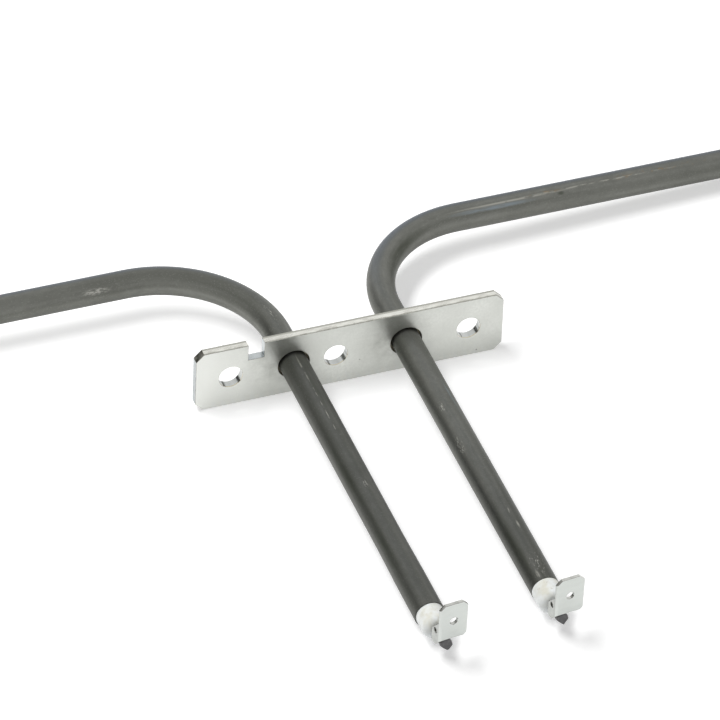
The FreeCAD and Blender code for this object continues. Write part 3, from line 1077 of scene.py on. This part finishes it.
# %% Beads
BEAD_BORE = 1.3 * MM
BORE_CHAMFER = 0.2 * MM
SPIGOT_PLAY = 0.05 * MM
DOME = 1.6 * MM
ARC_STEPS = 8


def quarter_arc(x, y, reach_x, reach_y):
    """A quarter of an ellipse about (x, y), from below it to beside it."""
    angles = [math.pi / 2 * step / ARC_STEPS for step in range(ARC_STEPS + 1)]
    return [(x + reach_x * math.sin(angle), y - reach_y * math.cos(angle)) for angle in angles]


def spin_section(section, centre):
    """Spin an outline given as (radius, y) about the leg's axis."""
    bm = bmesh.new()
    verts = [bm.verts.new((centre + radius, y, 0)) for radius, y in section]
    edges = [bm.edges.new(pair) for pair in zip(verts, verts[1:] + verts[:1])]
    bmesh.ops.spin(
        bm, geom=verts + edges, cent=(centre, 0, 0), axis=(0, 1, 0),
        dvec=(0, 0, 0), angle=2 * math.pi, steps=ROUND_STEPS, use_merge=True,
    )
    bmesh.ops.remove_doubles(bm, verts=bm.verts, dist=MERGE_DISTANCE)
    bmesh.ops.recalc_face_normals(bm, faces=bm.faces)
    return bm


def make_bead(side):
    low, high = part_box(f"{side}_ceramic_bead")
    collar = (high.x - low.x) / 2
    spigot = TUBE_BORE - SPIGOT_PLAY
    section = [
        (BEAD_BORE, high.y),
        (BEAD_BORE, low.y + BORE_CHAMFER),
        (BEAD_BORE + BORE_CHAMFER, low.y),
        *quarter_arc(collar - DOME, low.y + DOME, DOME, DOME),
        (collar, TUBE_END_Y),
        (spigot, TUBE_END_Y),
        (spigot, high.y),
    ]
    bm = spin_section(section, LEG_X[side])
    piece = keep_piece(bm, f"{side}_bead", f"{side}_ceramic_bead", [bead_ceramic])
    smooth_round(piece, 40)


for side in SIDES:
    make_bead(side)

# %% [markdown]
# ## Terminal pins
#
# The pins are steel wire, darkened to grey by the heat of the weld, and cropped with a cutter
# that leaves slanting facets. The solid's own mesh is cut by a few planes at its tip.

# %% Pin steel
PIN_DARK = (0.115, 0.114, 0.116, 1)
PIN_WORN = (0.175, 0.172, 0.172, 1)


def make_pin_steel():
    material, tree = new_material("pin_steel")
    place = object_place(tree)
    grain = put_group(tree, FINE_GRAIN, place)
    worn = stretched_noise(tree, place, (1300, 500, 1300), 3.0, 0.6)
    colour = blend_colours(tree, window(tree, worn, 0.5, 0.75), PIN_DARK, PIN_WORN)
    height = calculate(tree, "ADD", grain.outputs["Grain"], worn)
    finish_surface(tree, colour, 0.48, raised_by(tree, height, 0.02 * MM), 0.7)
    return material


pin_steel = make_pin_steel()

# %% Pins: each crop has its direction in x and z and its distance from the axis in mm
PIN_ROUNDING = 0.05 * MM
TIP_LENGTH = 1.3 * MM
TIP_SPREAD = 1.25
CROP_SLANT = Vector((0, -0.35, 0))
CROP_CUTS = {
    "left": ((-0.92, -0.39, 0.92), (-0.66, -0.75, 0.88), (0.82, -0.58, 1.16), (0.94, 0.35, 1.18)),
    "right": ((-0.86, -0.52, 0.90), (-0.69, -0.73, 0.80), (0.83, -0.56, 0.92), (0.94, 0.35, 1.15)),
}


def crop(bm, point, normal):
    """Cut away what lies beyond a plane and close the cut."""
    cut = cut_along(bm, point, normal, clear_outer=True)
    rim = [g for g in cut["geom_cut"] if isinstance(g, bmesh.types.BMEdge)]
    bmesh.ops.edgenet_fill(bm, edges=rim)


def make_pin(side):
    """The solid's mesh with its tip squashed wider and then cropped by slanting cuts."""
    node = f"{side}_terminal_pin"
    tip_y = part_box(node)[0].y
    bm = softened_copy(node, PIN_ROUNDING, 2)
    start = Vector((LEG_X[side], tip_y + TIP_LENGTH, 0))
    cut_along(bm, start, (0, 1, 0))
    for vert in bm.verts:
        share = smooth_step(start.y - vert.co.y, 0, TIP_LENGTH)
        widen(vert, side, 1 + (TIP_SPREAD - 1) * share)
    for x, z, reach in CROP_CUTS[side]:
        flat = Vector((x, 0, z)).normalized()
        point = Vector((LEG_X[side], tip_y, 0)) + flat * reach * MM
        crop(bm, point, (flat + CROP_SLANT).normalized())
    bmesh.ops.recalc_face_normals(bm, faces=bm.faces)
    smooth_flats(keep_piece(bm, f"{side}_pin", node, [pin_steel]))


for side in SIDES:
    make_pin(side)

# %% [markdown]
# ## Blade terminals
#
# Each terminal is one strip of plated steel with a bent foot. Its broad sides are pale, its
# blanked rims dark and its upper edge paler than the rims; the foot wears a darker, duller copy
# of the metal as painted shade. As welded, the blades stand turned by a few degrees and are a
# little wider at the top, where the strip was blanked with a taper.

# %% Blade finishes
BLADE_PALE = (0.645, 0.672, 0.645, 1)
BLADE_DULL = (0.575, 0.598, 0.570, 1)
RIM_METAL = ((0.15, 0.15, 0.135, 1), (0.33, 0.33, 0.31, 1), (900, 900, 900), 0.22)
# The foot's darker colours are painted shade.
FOOT_SHADED_METAL = ((0.38, 0.392, 0.372, 1), (0.50, 0.513, 0.488, 1), (500, 500, 500), 0.34)
TOP_METAL = ((0.42, 0.425, 0.40, 1), (0.60, 0.605, 0.575, 1), (500, 900, 900), 0.24)


def make_blade_metal():
    material, tree = new_material("blade_metal")
    place = object_place(tree)
    grain = put_group(tree, FINE_GRAIN, place).outputs["Grain"]
    rolled = noise_patches(tree, place, (240, 1500, 900), 2.0, 0.5, 0.2, 0.8)
    shade = calculate(tree, "MULTIPLY", rolled, 0.6)
    shade = calculate(tree, "ADD", shade, calculate(tree, "MULTIPLY", grain, 0.3))
    colour = blend_colours(tree, shade, BLADE_DULL, BLADE_PALE)
    rough = between_values(tree, grain, 0.28, 0.36)
    finish_surface(tree, colour, rough, raised_by(tree, grain, 0.003 * MM), 1.0)
    return material


BLADE_WEARS = {
    "side": make_blade_metal(),
    "rim": make_edge_metal("blade_rim", *RIM_METAL),
    "foot": make_edge_metal("foot_metal_painted_shade", *FOOT_SHADED_METAL),
    "top": make_edge_metal("blade_top", *TOP_METAL),
}

# %% Blades
BLADE_TURN = math.radians(6)
BLADE_TAPER = 0.06
TAPER_EVEN = 0.3
BLADE_HEIGHT = 9.4 * MM
BLADE_ROUNDING = 0.10 * MM
STRIP = 0.8 * MM
BLADE_BACK = 1.05 * STRIP
FOOT_START = 1.2 * STRIP
WELD_DEPTH = 1.2 * MM
HAIR = 0.01 * MM
UPWARD, UP_OR_DOWN, TO_THE_RIGHT = 0.92, 0.25, 0.5


def blade_region(face, front):
    """Broad side, rim, the foot behind the bend, or the upper edge."""
    right_chamfer = face.normal.z > CHAMFERED and face.normal.x > CHAMFERED
    if face.normal.z > UPWARD or right_chamfer:
        return "top"
    if abs(face.normal.z) > UP_OR_DOWN or face.normal.x > TO_THE_RIGHT:
        return "rim"
    return "foot" if face.calc_center_median().y > front + FOOT_START else "side"


def make_blade(side):
    node = f"{side}_blade_terminal"
    low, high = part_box(node)
    bm = softened_copy(node, BLADE_ROUNDING)
    dress_faces(bm, BLADE_WEARS, blade_region, low.y)
    bottom = high.z - BLADE_HEIGHT
    middle = (low.x + high.x) / 2
    for vert in bm.verts:
        if vert.co.y < low.y + BLADE_BACK and vert.co.z > bottom - HAIR:
            share = (vert.co.z - bottom) / BLADE_HEIGHT
            vert.co.x += (vert.co.x - middle) * BLADE_TAPER * (share - TAPER_EVEN)
    pivot = Vector((low.x + STRIP, low.y + WELD_DEPTH, 0))
    bmesh.ops.rotate(bm, cent=pivot, matrix=Matrix.Rotation(BLADE_TURN, 3, "Z"), verts=bm.verts)
    smooth_flats(keep_piece(bm, f"{side}_blade", node, BLADE_WEARS.values()))


for side in SIDES:
    make_blade(side)

# %% [markdown]
# ## Filler rings behind the plate
#
# The tube is held in the plate by a ring of filler metal. It has flowed, so its surface is
# uneven: the solid's ring is spun again with a hollow fillet and pushed about by noise.

# %% Braze
BRAZE_PALE = (0.30, 0.27, 0.20, 1)
BRAZE_DULL = (0.13, 0.12, 0.095, 1)


def make_braze_metal():
    material, tree = new_material("braze_metal")
    place = object_place(tree)
    grain = put_group(tree, FINE_GRAIN, place)
    colour = blend_colours(tree, grain.outputs["Clouds"], BRAZE_DULL, BRAZE_PALE)
    height = stretched_noise(tree, place, (900, 900, 900), 3.0, 0.6)
    finish_surface(tree, colour, 0.42, raised_by(tree, height, 0.08 * MM), 0.9)
    return material


braze_metal = make_braze_metal()

# %% Filler rings
FLOW_DEPTH = 0.18 * MM
FLOW_FADE = 0.3 * MM
FLOW_CELLS = 900


def make_braze_ring(side):
    node = f"{side}_braze_ring"
    low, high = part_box(node)
    edge = (high.x - low.x) / 2
    back = plate_high.y
    section = [
        (TUBE_RADIUS, low.y),
        (LEG_HOLE_RADIUS, low.y),
        (LEG_HOLE_RADIUS, back),
        *quarter_arc(edge, high.y, TUBE_RADIUS - edge, high.y - back),
    ]
    bm = spin_section(section, LEG_X[side])
    for vert in bm.verts:
        free = share_between(vert.co.y - back, 0, FLOW_FADE)
        vert.co.y -= free * FLOW_DEPTH * abs(noise.noise(vert.co * FLOW_CELLS))
    piece = keep_piece(bm, f"{side}_filler_ring", node, [braze_metal])
    smooth_round(piece, 50)


for side in SIDES:
    make_braze_ring(side)

# %% [markdown]
# ## What the tube holds
#
# The powder, the wire and the seals stay the solids that they are, and get their own finishes:
# chalky powder, wound wire whose turns show as rings, and a waxy silicone plug.

# %% Powder, wire and seal
def make_matt(name, pattern, darker, paler, roughness, depth):
    """A matt finish between two colours, after the grain or the clouds of the fine grain."""
    material, tree = new_material(name)
    grain = put_group(tree, FINE_GRAIN, object_place(tree))
    colour = blend_colours(tree, grain.outputs[pattern], darker, paler)
    finish_surface(tree, colour, roughness, raised_by(tree, grain.outputs["Grain"], depth), 0.0)
    return material


def make_wire():
    material, tree = new_material("coil_wire")
    turns = add_node(
        tree, "ShaderNodeTexWave", wave_type="BANDS", bands_direction="DIAGONAL", Scale=420.0
    )
    tree.links.new(object_place(tree), turns.inputs["Vector"])
    height = turns.outputs[1]
    colour = blend_colours(tree, height, (0.20, 0.19, 0.18, 1), (0.50, 0.48, 0.45, 1))
    finish_surface(tree, colour, 0.4, raised_by(tree, height, 0.1 * MM), 0.9)
    return material


powder = make_matt(
    "magnesia", "Grain", (0.74, 0.72, 0.67, 1), (0.86, 0.84, 0.80, 1), 0.9, 0.03 * MM
)
wire = make_wire()
seal = make_matt(
    "seal_rubber", "Clouds", (0.50, 0.17, 0.12, 1), (0.62, 0.25, 0.18, 1), 0.5, 0.01 * MM
)
inner_finishes = {
    "magnesia_filling": powder,
    "resistance_coil": wire,
    "left_end_seal": seal,
    "right_end_seal": seal,
}
for node, material in inner_finishes.items():
    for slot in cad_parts[node].material_slots:
        slot.material = material
        print(node, "wears", slot.material.name)
